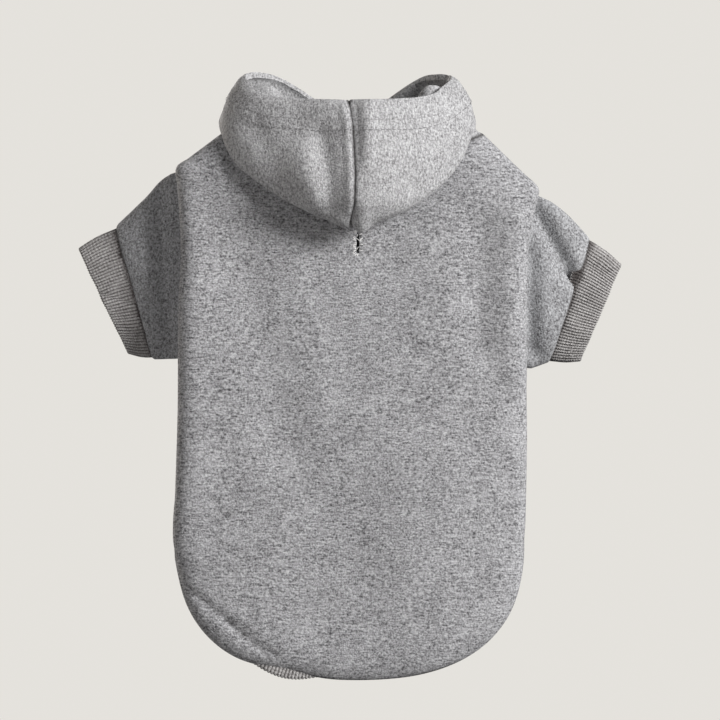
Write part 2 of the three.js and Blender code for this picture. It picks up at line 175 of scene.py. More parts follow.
# Each row: half widths left and right as shares of half the width, swells of the back and belly,
# drops at the left, right, back and belly, and how fast the drop changes round the body.
BODY_TABLE = np.array([
    [1.01, 1.07, 0.915, 0.945, 0.081, 0.13, 0.107, 0.226, 2],
    [1.005, 1.065, 0.94, 0.965, 0.116, 0.157, 0.131, 0.253, 2],
    [0.984, 1.027, 0.965, 0.98, 0.194, 0.222, 0.179, 0.305, 2],
    [0.973, 1.005, 0.98, 1, 0.287, 0.306, 0.241, 0.379, 2],
    [0.984, 1, 1, 1, 0.417, 0.417, 0.345, 0.495, 2],
    [0.989, 1, 1, 1, 0.579, 0.579, 0.476, 0.642, 1.6],
    [0.995, 1.005, 1, 0.98, 0.741, 0.741, 0.621, 0.779, 1.3],
    [1.005, 1, 0.975, 0.965, 0.88, 0.88, 0.766, 0.895, 1.1],
    [1.016, 0.995, 0.95, 0.93, 0.949, 0.949, 0.879, 0.947, 0.9],
])
SHOULDER_SHARES = (0, 0.34, 0.74)
WIDEST_ROW = 5
TAIL_LEFT, TAIL_RIGHT, TAIL_SWELL = 1.006, 0.985, 0.9
NECK_LOOP = np.array([
    NECK_WIDTH / 2, NECK_WIDTH / 2, NECK_BACK, NECK_FRONT, 0, 0, NECK_BACK_DROP, NECK_FRONT_DROP, 2,
])


def hem_loop(inset, rise, forward):
    """A loop of the bottom edge, moved in, up and forward by so much."""
    rim = CLOTH / 2 + inset
    return np.array([
        TAIL_LEFT * BODY_WIDTH / 2 - rim,
        TAIL_RIGHT * BODY_WIDTH / 2 - rim,
        TAIL_SWELL * BACK_SWELL - CLOTH / 2 - forward,
        TAIL_SWELL * BELLY_SWELL - CLOTH / 2,
        SIDE_LENGTH - rise,
        SIDE_LENGTH - rise,
        BACK_LENGTH - rim - rise,
        BELLY_LENGTH + inset - rise,
        LOOP_POWER,
    ])


def body_loops():
    """The loops of the body, from the neck down and round the rolled edge."""
    sizes = [BODY_WIDTH / 2] * 2 + [BACK_SWELL, BELLY_SWELL, SIDE_LENGTH, SIDE_LENGTH]
    loops = BODY_TABLE * np.array(sizes + [BACK_LENGTH, BELLY_LENGTH, 1])
    loops[:, :4] -= CLOTH / 2
    shoulders = [NECK_LOOP + (loops[0] - NECK_LOOP) * share for share in SHOULDER_SHARES]
    hem = [hem_loop(0, HEM_TURN, 0), hem_loop(0, 0, HEM_ROLL), hem_loop(HEM_TURN, 0, 2 * HEM_ROLL)]
    return np.array([*shoulders, *loops, *hem])


def loop_points(loops, angles):
    """Points [across][down] of loops. Angles run from the right over the belly and the left."""
    across, deep = np.cos(angles)[:, None], np.sin(angles)[:, None]
    left, right, back, belly, left_drop, right_drop, back_drop, belly_drop, fall = loops.T[:, None]
    half = np.where(across >= 0, right, -left)
    depth = np.where(deep >= 0, belly, -back)
    side = left_drop + (right_drop - left_drop) * (1 + across) / 2
    middle = np.where(deep >= 0, belly_drop, back_drop)
    x = half * np.abs(across) ** LOOP_POWER
    y = depth * np.abs(deep) ** SWELL_POWER
    z = -(side + (middle - side) * np.abs(deep) ** fall)
    return np.stack(np.broadcast_arrays(x, y, z), 2)


def bend(start, end, leave, arrive, t):
    """A smooth curve at shares t of the way from start to end, with the slopes at both."""
    return (
        start * (2 * t**3 - 3 * t**2 + 1)
        + end * (3 * t**2 - 2 * t**3)
        + leave * (t**3 - 2 * t**2 + t)
        + arrive * (t**3 - t**2)
    )


def smooth_rows(places, rows, at):
    """Rows of a table anywhere along it, on a smooth curve through its rows."""
    places, rows = np.asarray(places, float), np.asarray(rows, float)
    steps = np.diff(rows, axis=0) / np.diff(places)[:, None]
    slope = np.vstack([steps[:1], (steps[:-1] + steps[1:]) / 2, steps[-1:]])
    k = np.clip(np.searchsorted(places, at, side="right") - 1, 0, len(places) - 2)
    span = (places[k + 1] - places[k])[:, None]
    t = (np.asarray(at) - places[k])[:, None] / span
    return bend(rows[k], rows[k + 1], slope[k] * span, slope[k + 1] * span, t)


def added_up(gaps):
    """The length gone at each point of a line, from the gaps between its points."""
    return np.concatenate([[0], np.cumsum(gaps)])


def lengths_to(points):
    """The length of a line of points up to each of them."""
    return added_up(np.linalg.norm(np.diff(points, axis=0), axis=1))


def even_places(points, count):
    """Indices, as shares, that divide a line of points into equal lengths."""
    gone = lengths_to(points)
    return np.interp(np.linspace(0, gone[-1], count), gone, np.arange(len(points)))


# Steps round a loop before it is divided evenly, and to measure its length.
FINE_STEPS = 721
ROUGH_STEPS = 48


def body_sheet(first, last, columns, rows):
    """A sheet of the body between two angles, as points [across][down]."""
    loops = body_loops()
    widest = loops[len(SHOULDER_SHARES) + WIDEST_ROW][None]
    fine = np.linspace(first, last, FINE_STEPS)
    even = even_places(loop_points(widest, fine)[:, 0], columns)
    angles = np.interp(even, np.arange(FINE_STEPS), fine)
    rough = loop_points(loops, np.linspace(0, 2 * math.pi, ROUGH_STEPS))
    places = added_up(np.linalg.norm(np.diff(rough, axis=1), axis=2).mean(0))
    return loop_points(smooth_rows(places, loops, np.linspace(0, places[-1], rows)), angles)


def outward(points, closed=False):
    """Unit normals of points [across][down], which may close on themselves."""
    down = np.gradient(points, axis=1)
    across = np.gradient(points, axis=0)
    if closed:
        across[0] = across[-1] = (points[1] - points[-2]) / 2
    normal = np.cross(down, across)
    return normal / np.maximum(np.linalg.norm(normal, axis=2, keepdims=True), 1e-12)


def rearward(way, gain=1.0):
    """How far unit normals point to the back, from 0 to 1. Folds are drawn there only."""
    return np.clip(-way[..., 1] * gain, 0, 1)


def folds(points, table):
    """Height of soft folds, [start x, start z, end x, end z, half width, height] a row, in mm."""
    height = np.zeros(points.shape[:-1])
    for x1, z1, x2, z2, width, rise in np.array(table) / 1000:
        start, end = np.array((x1, z1)), np.array((x2, z2))
        flat, way = points[..., [0, 2]] - start, end - start
        nearest = np.clip(flat @ way / (way @ way), 0, 1)[..., None] * way
        apart = np.linalg.norm(flat - nearest, axis=-1)
        height += rise * np.exp(-((apart / width) ** 2))
    return height


SEED_STEPS = (3.7, 1.3, 2.1)


def waves(points, size, seed):
    """Gentle unevenness of hanging cloth, from -1 to 1."""
    shift = Vector([seed * step for step in SEED_STEPS])
    flat = points.reshape(-1, 3) / size
    return np.array([noise.noise(Vector(p) + shift) for p in flat]).reshape(points.shape[:-1])


def weld():
    """Joins the points of the active piece that lie on each other."""
    bpy.ops.object.mode_set(mode="EDIT")
    bpy.ops.mesh.select_all(action="SELECT")
    bpy.ops.mesh.remove_doubles(threshold=1e-6)
    bpy.ops.object.mode_set(mode="OBJECT")


def cloth_sheet(name, points, closed=False):
    """A sheet of faces through points [across][down], with a UV map in metres of cloth."""
    columns, rows = points.shape[:2]
    bpy.ops.mesh.primitive_grid_add(x_subdivisions=rows - 1, y_subdivisions=columns - 1)
    sheet = bpy.context.object
    sheet.name = sheet.data.name = name
    sheet.data.vertices.foreach_set("co", points.reshape(-1))
    across = np.linalg.norm(np.diff(points, axis=0), axis=2).mean(1)
    down = np.linalg.norm(np.diff(points, axis=1), axis=2).mean(0)
    corner = np.empty(len(sheet.data.loops), int)
    sheet.data.loops.foreach_get("vertex_index", corner)
    flat = np.stack([added_up(across)[corner // rows], added_up(down)[corner % rows]], 1)
    sheet.data.uv_layers.active.data.foreach_set("uv", flat.reshape(-1))
    if closed:
        weld()
    sheet.data.update()
    return sheet


# A seam draws the cloth in, and the shade in its groove is painted on: how dark that painted shade
# is, and how far to each side.
SEAM_SHADE_DARKNESS, SEAM_REACH = 0.85, 0.0011


def painted_seam_shade(points, *edges):
    """The painted shade of the seam groove at points [across][down], of which some edges are sewn.
    """
    apart = [np.linalg.norm(points - edge, axis=2) for edge in edges]
    return SEAM_SHADE_DARKNESS * np.exp(-((np.min(apart, 0) / SEAM_REACH) ** 2))


def marked(piece, name, values):
    """Writes a number for each point of a sheet, which a finish or a modifier reads."""
    layer = piece.data.attributes.new(name, "FLOAT", "POINT")
    layer.data.foreach_set("value", np.asarray(values, float).reshape(-1))


@contextmanager
def opened(piece):
    """A piece's mesh, open for changes to its faces."""
    mesh = bmesh.new()
    mesh.from_mesh(piece.data)
    yield mesh
    mesh.to_mesh(piece.data)
    mesh.free()


SLIVER = 1e-7
SMALLEST_ISLAND = 12


def drop_slivers(piece):
    """Takes out the few faces that a narrow bevel has folded flat onto each other."""
    with opened(piece) as mesh:
        bmesh.ops.remove_doubles(mesh, verts=mesh.verts, dist=SLIVER)
        left, gone = set(mesh.faces), []
        while left:
            island = [left.pop()]
            for face in island:
                for edge in face.edges:
                    if len(edge.link_faces) == 2:
                        joined = [other for other in edge.link_faces if other in left]
                        left.difference_update(joined)
                        island.extend(joined)
            if len(island) < SMALLEST_ISLAND:
                gone += island
        bmesh.ops.delete(mesh, geom=gone, context="FACES")


def face_outward():
    """Turns the faces of the active piece outward and shades them smoothly."""
    bpy.ops.object.mode_set(mode="EDIT")
    bpy.ops.mesh.select_all(action="SELECT")
    bpy.ops.mesh.normals_make_consistent(inside=False)
    bpy.ops.object.mode_set(mode="OBJECT")
    bpy.ops.object.shade_smooth()
    bpy.ops.object.select_all(action="DESELECT")


def wear_thickness(piece, thickness, rim=0.0006, thin=1.0):
    """Gives a sheet its thickness, half to each side, and rounds its cut edges. Outside the
    piece's vertex group, if it has one, the thickness is the share thin of it."""
    bpy.context.view_layer.objects.active = piece
    solid = piece.modifiers.new("thickness", "SOLIDIFY")
    solid.thickness = thickness
    solid.offset = 0
    solid.use_even_offset = True
    solid.use_quality_normals = True
    if piece.vertex_groups:
        solid.vertex_group = piece.vertex_groups[0].name
        solid.thickness_vertex_group = thin
    bpy.ops.object.modifier_apply(modifier=solid.name)
    bevel = piece.modifiers.new("rim", "BEVEL")
    bevel.width = rim
    bevel.segments = 2
    bevel.limit_method = "ANGLE"
    bevel.angle_limit = math.radians(60)
    bpy.ops.object.modifier_apply(modifier=bevel.name)
    drop_slivers(piece)
    face_outward()


def belongs(piece, material, node=None):
    """Rides a piece on the garment, in its finish, in place of its plain node."""
    piece.data.materials.clear()
    piece.data.materials.append(material)
    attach(piece, "root")
    if node:
        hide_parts(node)


# The two sleeves are lens-shaped tubes that leave the body at its sides. The body is cut out
# where they leave it, so their sections are needed here already.
ARMHOLE_HEIGHT = 0.100
ARMHOLE_DROP = 0.069
ARMHOLE_DEPTH = 0.020
ARMHOLE_FORWARD = 0.012
SLEEVE_REACH = 0.024
SLEEVE_FORWARD = 0.004
CUFF_HEIGHT = 0.073
CUFF_DEPTH = 0.018
CUFF_LEAN = math.radians(25)
LIMB_POWER = 0.86
SIDES = {"left": -1, "right": 1}
# Each row: reach, fall, size, narrow, lean and forward of a section.
SLEEVE_TABLE = {
    "left": [
        [-1.38, 0.96, 1, 0, 0, -2],
        [0, 1, 1, 0, 0.08, 0],
        [0.5, 1.11, 1, 0.5, 0.36, 0.5],
        [1, 1.21, 1.02, 1, 0.64, 1],
    ],
    "right": [
        [-1.38, 1.07, 0.94, 0, 0, -2],
        [0, 1.116, 0.94, 0, 0.08, 0],
        [0.5, 1.18, 0.995, 0.5, 0.38, 0.5],
        [1, 1.272, 0.96, 1, 0.756, 1],
    ],
}


def limb_points(side, sections, turns):
    """Points [around][along] of a sleeve or cuff. Sections are out, drop, height, depth, lean
    and forward, and turns are shares of a full turn."""
    out, drop, height, depth, lean, forward = np.asarray(sections).T[:, None]
    rise = np.sin(2 * math.pi * turns)[:, None]
    deep = np.cos(2 * math.pi * turns)[:, None]
    reach = np.sign(rise) * np.abs(rise) ** LIMB_POWER * height / 2
    x = side * (out + np.sin(lean) * reach)
    y = forward - side * deep * depth / 2
    z = np.cos(lean) * reach - drop
    return np.stack(np.broadcast_arrays(x, y, z), 2)


def sleeve_sections(hand, rows):
    """Sections of a sleeve, from inside the body to its end."""
    table = smooth_rows(range(4), SLEEVE_TABLE[hand], np.linspace(0, 3, rows))
    reach, fall, size, narrow, lean, forward = table.T
    share = np.clip(narrow, 0, 1)
    return np.stack([
        BODY_WIDTH / 2 + reach * SLEEVE_REACH,
        fall * ARMHOLE_DROP,
        size * (ARMHOLE_HEIGHT + (CUFF_HEIGHT - ARMHOLE_HEIGHT) * share) - CLOTH,
        ARMHOLE_DEPTH + (CUFF_DEPTH - ARMHOLE_DEPTH) * share - CLOTH,
        lean * CUFF_LEAN,
        ARMHOLE_FORWARD + forward * SLEEVE_FORWARD,
    ], 1)


def skin_tree(points):
    """A search tree over the faces of points [across][down], which close on themselves."""
    columns, rows = points.shape[:2]
    faces = [
        (i * rows + j, i * rows + j + 1, (i + 1) * rows + j + 1, (i + 1) * rows + j)
        for i in range(columns - 1)
        for j in range(rows - 1)
    ]
    return BVHTree.FromPolygons(points.reshape(-1, 3).tolist(), faces)


SKIN_ROWS, SKIN_COLUMNS = 41, 129
SLEEVE_SKINS = {
    side: skin_tree(limb_points(
        side, sleeve_sections(hand, SKIN_ROWS), np.linspace(0, 1, SKIN_COLUMNS)
    ))
    for hand, side in SIDES.items()
}
# Whether the faces of each skin look outward, found at a point above the sleeve.
SKIN_WAY = {}
for side, tree in SLEEVE_SKINS.items():
    above = Vector((side * BODY_WIDTH / 2, ARMHOLE_FORWARD, 0))
    place, normal, _, _ = tree.find_nearest(above)
    SKIN_WAY[side] = 1 if (above - place).dot(normal) > 0 else -1
# The armholes lie outside this share of the body's width, in its upper half.
ARMHOLE_FROM = 0.35


def cut_armholes(panel):
    """Opens a body panel inside both sleeves and draws the cut edge onto the sleeves."""
    with opened(panel) as mesh:
        for side, tree in SLEEVE_SKINS.items():
            inside = {}
            for vertex in mesh.verts:
                x, _, z = vertex.co
                if side * x > BODY_WIDTH * ARMHOLE_FROM and z > -BACK_LENGTH / 2:
                    place, normal, _, _ = tree.find_nearest(vertex.co)
                    if (vertex.co - place).dot(normal) * SKIN_WAY[side] < 0:
                        inside[vertex] = place
            gone = [face for face in mesh.faces if all(vertex in inside for vertex in face.verts)]
            bmesh.ops.delete(mesh, geom=gone, context="FACES")
            for vertex, place in inside.items():
                if vertex.is_valid and vertex.link_faces:
                    vertex.co = place


BACK_FOLDS = [
    [4, -60, 4, -225, 55, -3.2],
    [-91, -45, -91, -218, 13, 4.2],
    [-62, -55, -38, -165, 15, -2.0],
    [-92.3, -50, -92.6, -120, 2.2, 0.9],
    [88, -45, 88, -126, 9, 3.3],
    [66, -50, 67, -112, 9, -2.4],
    [26, -180, 34, -255, 25, 2.5],
    [-34, -150, -24, -190, 12, -1.0],
    [-66, -259, -41, -279, 2.0, -2.0],
    [-88, -241, -66, -259, 2.4, -1.4],
]
# Unevenness between the folds: height, size and seed of each layer.
BACK_WAVES = ((0.0006, 0.055, 1), (0.0003, 0.022, 2))
# The painted shade in the crease beside the rolled edge. It is written as a fold, with 600 for a
# darkness of 0.6.
HEM_PAINTED_SHADE = [-62, -262, -43, -278, 0.9, 600]
BACK_COLUMNS, BACK_ROWS = 141, 171
SLIT_PLACE = (0.0032, -0.0574)
SLIT_HALF = 0.0064
SLIT_GAP = 0.0016
# The slit is an ellipse. It is cut a little past its ends, and stays a little open there.
SLIT_PAST, SLIT_LEAST = 0.05, 0.02
# A row of points by which the slit's strip of faces is found.
SOUGHT_ROW = 60
# Where the rolled edge has slipped up and shows the rib knit under it: only below a level, and
# more further down.
SLIP_PLACE, SLIP_WIDTH, SLIP_RISE = -0.036, 0.018, 0.0028
SLIP_LEVEL, SLIP_SPAN = 0.262, 0.018


def slip(points):
    """How far the bottom edge has slipped up at points, from 0 to 1."""
    low = np.clip((-points[..., 2] - SLIP_LEVEL) / SLIP_SPAN, 0, 1) * (points[..., 1] < 0)
    return np.exp(-(((points[..., 0] - SLIP_PLACE) / SLIP_WIDTH) ** 2)) * low


back = body_sheet(LEFT_SEAM, RIGHT_SEAM + 2 * math.pi, BACK_COLUMNS, BACK_ROWS)
lift = folds(back, BACK_FOLDS)
for height, size, seed in BACK_WAVES:
    lift += height * waves(back, size, seed)
back_points = back + outward(back) * (lift * rearward(outward(back)))[..., None]
back_points[..., 2] += SLIP_RISE * slip(back_points)
# The leash slit opens one strip of faces between two columns of points.
beside = back_points[:-1, SOUGHT_ROW, 0] + back_points[1:, SOUGHT_ROW, 0]
slit_column = int(np.argmin(np.abs(beside - 2 * SLIT_PLACE[0])))
share = 1 - ((back_points[slit_column, :, 2] - SLIT_PLACE[1]) / SLIT_HALF) ** 2
slit_rows = np.flatnonzero(share > -SLIT_PAST)
width = np.clip(share[slit_rows], SLIT_LEAST, 1) ** 0.5 * SLIT_GAP / 2
back_points[slit_column, slit_rows, 0] = SLIT_PLACE[0] - width
back_points[slit_column + 1, slit_rows, 0] = SLIT_PLACE[0] + width
back_panel = cloth_sheet("back_panel_cloth", back_points)
# Painted shade along the seams, and in the crease beside the rolled edge.
seams = painted_seam_shade(back_points, back_points[:, :1], back_points[:1], back_points[-1:])
marked(back_panel, "painted_shade", np.maximum(folds(back_points, [HEM_PAINTED_SHADE]), seams))
with opened(back_panel) as mesh:
    mesh.verts.ensure_lookup_table()
    slit_columns = (slit_column, slit_column + 1)
    strip = {column * BACK_ROWS + row for column in slit_columns for row in slit_rows}
    gone = [face for face in mesh.faces if all(vertex.index in strip for vertex in face.verts)]
    bmesh.ops.delete(mesh, geom=gone, context="FACES")
cut_armholes(back_panel)
wear_thickness(back_panel, CLOTH, rim=0.0004)
belongs(back_panel, body_fleece, "back_panel")


# The binding of the slit: a satin stitch of pale thread over its cut edges. It has worn loose, so
# that many stitches are gone on the right and a few threads cross the gap.
def stitches(name, middles, along, out, length, thread):
    """Stitches on the cloth: one rounded length of thread, copied to each place."""
    bpy.ops.mesh.primitive_uv_sphere_add(segments=6, ring_count=4, radius=1)
    sewn = bpy.context.object
    sewn.name = sewn.data.name = name
    corners = np.array([vertex.co[:] for vertex in sewn.data.vertices])
    faces = [list(face.vertices) for face in sewn.data.polygons]
    middles, along, out = (np.asarray(values, float) for values in (middles, along, out))
    side = np.cross(out, along)
    frames = np.stack([side * thread / 2, out * thread / 2, along * length / 2], 1)
    placed = (middles[:, None] + corners @ frames).reshape(-1, 3)
    every = [[k * len(corners) + v for v in face] for k in range(len(middles)) for face in faces]
    sewn.data.clear_geometry()
    sewn.data.from_pydata(placed.tolist(), [], every)
    bpy.ops.object.shade_smooth()
    bpy.ops.object.select_all(action="DESELECT")
    return sewn


back_skin = skin_tree(back_points)
BEHIND = -0.1


def on_back(x, z):
    """The point of the back's face at a place seen from behind."""
    place, _, _, _ = back_skin.ray_cast(Vector((x, BEHIND, z)), Vector((0, 1, 0)))
    return np.array(place) - np.array([0, CLOTH / 2, 0])


thread = Finish("sewing_thread", Roughness=0.6, Base_Color=(0.78, 0.77, 0.76, 1.0))
BIND_PITCH = 0.00078
BIND_LENGTH = 0.0019
BIND_THREAD = 0.00042
BIND_INSET = 0.95
# The share of the stitches that is gone on the left and right, and how the others stray.
WORN_OFF = {-1: 0.12, 1: 0.68}
STRAY = 0.0003
SLOPE, SLOPE_SPREAD = 0.2, 0.42
# The stitches that cross the gap: place along the slit, as a share of its half, and slope.
CROSSING = ((-1.02, 1.2), (-0.45, 0.9), (0.3, -0.5), (0.62, 1.1))
CROSSING_LEFT = 0.0002
bind_places, bind_ways = [], []
draws = np.random.default_rng(11)
for z in np.arange(SLIT_PLACE[1] - SLIT_HALF, SLIT_PLACE[1] + SLIT_HALF, BIND_PITCH):
    for side in (-1, 1):
        if draws.random() < WORN_OFF[side]:
            continue
        x = SLIT_PLACE[0] + side * (SLIT_GAP + BIND_LENGTH) / 2 * BIND_INSET
        bind_places.append(on_back(x + draws.normal(0, STRAY), z))
        slope = draws.normal(SLOPE, SLOPE_SPREAD)
        bind_ways.append((math.cos(slope), 0, math.sin(slope)))
for share, slope in CROSSING:
    bind_places.append(on_back(SLIT_PLACE[0] - CROSSING_LEFT, SLIT_PLACE[1] + share * SLIT_HALF))
    bind_ways.append((math.cos(slope), 0, math.sin(slope)))
bind = (bind_places, bind_ways, [(0, -1, 0)] * len(bind_places))
slit_stitching = stitches("slit_stitching", *bind, BIND_LENGTH, BIND_THREAD)
belongs(slit_stitching, thread.material)

# The belly panel: the shorter, plain piece under the belly, of the same fleece, which is sewn to
# the back panel at both sides.
BELLY_COLUMNS, BELLY_ROWS = 91, 121
BELLY_UNEVEN, BELLY_WAVE = 0.0005, 0.05
belly = body_sheet(RIGHT_SEAM, LEFT_SEAM, BELLY_COLUMNS, BELLY_ROWS)
belly_points = belly + outward(belly) * (BELLY_UNEVEN * waves(belly, BELLY_WAVE, 3))[..., None]
belly_panel = cloth_sheet("belly_panel_cloth", belly_points)
# Painted shade along the seams.
seams = painted_seam_shade(belly_points, belly_points[:, :1], belly_points[:1], belly_points[-1:])
marked(belly_panel, "painted_shade", seams)
cut_armholes(belly_panel)
wear_thickness(belly_panel, CLOTH)
belongs(belly_panel, body_fleece, "belly_panel")

# The sleeves: short tubes of the same fleece with the grain down the arm. Each has soft folds
# where it hangs, and its end turns in over the cuff.
sleeve_fleece = heather(
    "sleeve_fleece",
    pale=(0.425, 0.43, 0.445),
    dark=(0.058, 0.055, 0.058),
    along=(0.0008, 0.002, 0.0016),
    fleck=0.25,
)
SLEEVE_FOLDS = {
    "left": [
        [-103, -16, -98, -112, 4.5, -1.6],
        [-113, -60, -104, -112, 5, 0.9],
        [-122, -70, -112, -105, 5, -0.7],
        [-108, -30, -118, -60, 6, 0.8],
        [-101, -18, -99.5, -62, 1.3, 0.8],
        [-97, -18, -96.5, -62, 1.3, 0.8],
    ],
    "right": [
        [97, -37, 118, -75, 5.2, -4.3],
        [106, -34, 121, -67, 5, 1.2],
        [110, -73, 123, -75, 2.0, -2.6],
        [101, -84, 103, -110, 6, 1.5],
        [95, -62, 96, -114, 5.5, -3.0],
    ],
}
SLEEVE_ROWS, SLEEVE_COLUMNS = 45, 121
SLEEVE_UNEVEN, SLEEVE_WAVE = 0.0005, 0.02
# The end turns in past a place on the table's scale of 0 to 3, and has painted shade where it meets
# the cuff.
END_TURN, END_FROM, END_SPAN = 0.0014, 2.86, 0.14
END_SHADE_DARKNESS, END_REACH = 0.8, 0.0007
# The folds have their full height where the skin looks mostly to the back.
LIMB_GAIN = 1.5
# The tube is cut off inside the body, at this share of the body's width.
CUT_OFF = 0.42
for hand, side in SIDES.items():
    turns = np.linspace(0, 1, SLEEVE_COLUMNS)
    tube = limb_points(side, sleeve_sections(hand, SLEEVE_ROWS), turns)
    way = outward(tube, closed=True)
    lift = folds(tube, SLEEVE_FOLDS[hand]) * rearward(way, LIMB_GAIN)
    lift += SLEEVE_UNEVEN * waves(tube, SLEEVE_WAVE, 5 + side)
    along = np.linspace(0, 3, SLEEVE_ROWS)
    lift -= END_TURN * np.clip((along - END_FROM) / END_SPAN, 0, 1) ** 2
    lift[-1] = lift[0]
    tube = tube + way * lift[..., None]
    piece = cloth_sheet(f"sleeve_{hand}_cloth", tube, closed=True)
    with opened(piece) as mesh:
        gone = [vertex for vertex in mesh.verts if side * vertex.co.x < BODY_WIDTH * CUT_OFF]
        bmesh.ops.delete(mesh, geom=gone, context="VERTS")
    places = np.array([vertex.co[:] for vertex in piece.data.vertices])
    # Painted shade on the turned-in end, where it meets the cuff.
    from_end = np.linalg.norm(places[:, None] - tube[None, :, -1], axis=2).min(1)
    marked(piece, "painted_shade", END_SHADE_DARKNESS * np.exp(-((from_end / END_REACH) ** 2)))
    wear_thickness(piece, CLOTH)
    belongs(piece, sleeve_fleece, f"sleeve_{hand}")

# The cuffs: doubled rib knit, drawn in a little smaller than the sleeve ends. The ribs run along
# the arm and stand up from gaps, which are darkened with painted shade.
RIB_KNIT = 0.0026
CUFF_REACH = 0.0152
CUFF_RIBS = 84
RIB_RELIEF = 0.00055
COURSE_PITCH = 0.0015
# Each row: reach, fall, size and lean of a section.
CUFF_TABLE = {
    "left": [
        [-0.22, 1.2, 0.985, 0.62],
        [0, 1.214, 0.985, 0.66],
        [0.5, 1.243, 0.945, 0.82],
        [1, 1.272, 0.87, 1.01],
    ],
    "right": [
        [-0.22, 1.262, 0.94, 0.745],
        [0, 1.276, 0.935, 0.768],
        [0.5, 1.319, 0.88, 0.84],
        [1, 1.362, 0.792, 0.91],
    ],
}
# Folds of the cuffs, as those of the body.
CUFF_FOLDS = {
    "left": [
        [-136, -84, -119, -89, 1.8, -0.9],
        [-128, -104, -116, -100, 3, 0.9],
        [-141, -66, -126, -72, 4, 0.5],
    ],
    "right": [
        [121, -66, 138, -73, 3, -0.6],
        [111, -97, 125, -106, 4, 0.7],
    ],
}
# How uneven the end is, the share of that on the face, and the size of the waves on each.
CUFF_UNEVEN, FACE_SHARE = 0.0006, 0.6
FACE_WAVE, END_WAVE = 0.012, 0.011
# Rows of points along a cuff: all, those in the sleeve, and those over which unevenness grows.
CUFF_ROWS, HIDDEN_ROWS, FADING_ROWS = 15, 4, 3
# The light that is left on the first rows, in the shade of the sleeve's end.
CUFF_SUNK = (0, 0, 0, 0, 0, 0.2, 0.85)
# The inner end's depth as a share of the outer one's, and the gap to the sleeve.
CUFF_START, CUFF_GAP = 0.8, 0.0006
RIB_STEPS = 8
# The tone of the knit: pale on a rib and dark in a gap, where the dark is painted shade, with its
# courses, fibres and patches.
RIB_BASE, RIB_SHARE, COURSE_SHARE = 0.04, 0.66, 0.07
RIB_FIBRE_SCALE, RIB_FIBRE_SHARE = 900.0, 0.26
RIB_PATCH_SCALE, RIB_PATCH_SHARE = 120.0, 0.12
COURSE_RELIEF = 0.4
rib = Finish(
    "rib_knit", Roughness=0.95, Specular_IOR_Level=0.12, Sheen_Weight=0.1, Sheen_Roughness=0.6
)
rib_place = rib.node("TexCoord", output=3)
rib_painted_light = rib.node("Attribute", {"attribute_name": "rib_painted_light"}, output=2)
rib_fibres = noise_of(rib, rib_place, RIB_FIBRE_SCALE, 0.6)
rib_patches = noise_of(rib, rib_place, RIB_PATCH_SCALE, 0.5)
rib_length = rib.node("SeparateXYZ", sockets={0: rib.node("TexCoord", output=2)}, output=1)
rib_turns = rib_length * (2 * math.pi / COURSE_PITCH)
rib_courses = rib.node("Math", {"operation": "SINE"}, {0: rib_turns})
rib_flecks = rib_fibres * RIB_FIBRE_SHARE + rib_patches * RIB_PATCH_SHARE
# Painted shade: the tone falls from each rib into the gap beside it, and on the rows in the
# sleeve's shade.
rib_tone = rib_painted_light * (RIB_SHARE + rib_courses * COURSE_SHARE) + rib_flecks
rib_shade = rib.node("Clamp", sockets={0: RIB_BASE + rib_tone})
rib_relief = rib_fibres + rib_courses * COURSE_RELIEF
rib_bump = rib.node("Bump", sockets={"Strength": 0.5, "Distance": 0.0004, "Height": rib_relief})
rib_colour = between(rib, rib_shade, (0.055, 0.048, 0.047, 1.0), (0.44, 0.428, 0.424, 1.0))
rib.wear(Base_Color=rib_colour, Normal=rib_bump)
rib_knit = rib.material
RIB_ROUND = 0.7


def rib_wave(count, columns):
    """Height of rib knit round a band, from 0 in a gap to 1 on a rib."""
    turn = np.linspace(0, count, columns)
    return np.abs(np.cos(math.pi * turn)) ** RIB_ROUND


TURN_STEPS = 2001


def even_turns(points_at, columns, whole):
    """Places round a closed loop that divide it into equal lengths."""
    fine = np.linspace(0, whole, TURN_STEPS)
    even = even_places(points_at(fine)[:, 0], columns)
    turns = np.interp(even, np.arange(TURN_STEPS), fine)
    turns[-1] = whole
    return turns


def unit(vectors):
    """Vectors [k][3] made 1 long."""
    return vectors / np.linalg.norm(vectors, axis=1, keepdims=True)


EDGE_STEPS = 7


def knit_band(name, band, way, count, sunk=()):
    """A folded band of rib knit through points [around][along], with its ribs along it. sunk
    are the shares of light on its first rows, which lie in the shade of the piece above."""
    height = rib_wave(count, len(band))
    half = RIB_KNIT / 2 - RIB_RELIEF * (1 - height)[:, None]
    turn = np.linspace(0, math.pi, EDGE_STEPS)[1:-1]
    ends = []
    for last, before in ((-1, -2), (0, 1)):
        onward = unit(band[:, last] - band[:, before])
        side = 1 if last else -1
        ends.append(np.stack([
            band[:, last] + half * (way[:, last] * side * math.cos(t) + onward * math.sin(t))
            for t in turn
        ], 1))
    outer = band + way * half[..., None]
    inner = band - way * half[..., None]
    ring = np.concatenate([outer, ends[0], inner[:, ::-1], ends[1], outer[:, :1]], 1)
    piece = cloth_sheet(name, ring)
    # Painted shade: the tone darkens into the gaps between ribs, and on the first rows in the shade
    # of the piece above.
    painted_rib_light = np.repeat(height[:, None], ring.shape[1], axis=1)
    painted_rib_light[:, : len(sunk)] *= np.array(sunk).reshape(1, -1)
    marked(piece, "rib_painted_light", painted_rib_light)
    weld()
    face_outward()
    return piece


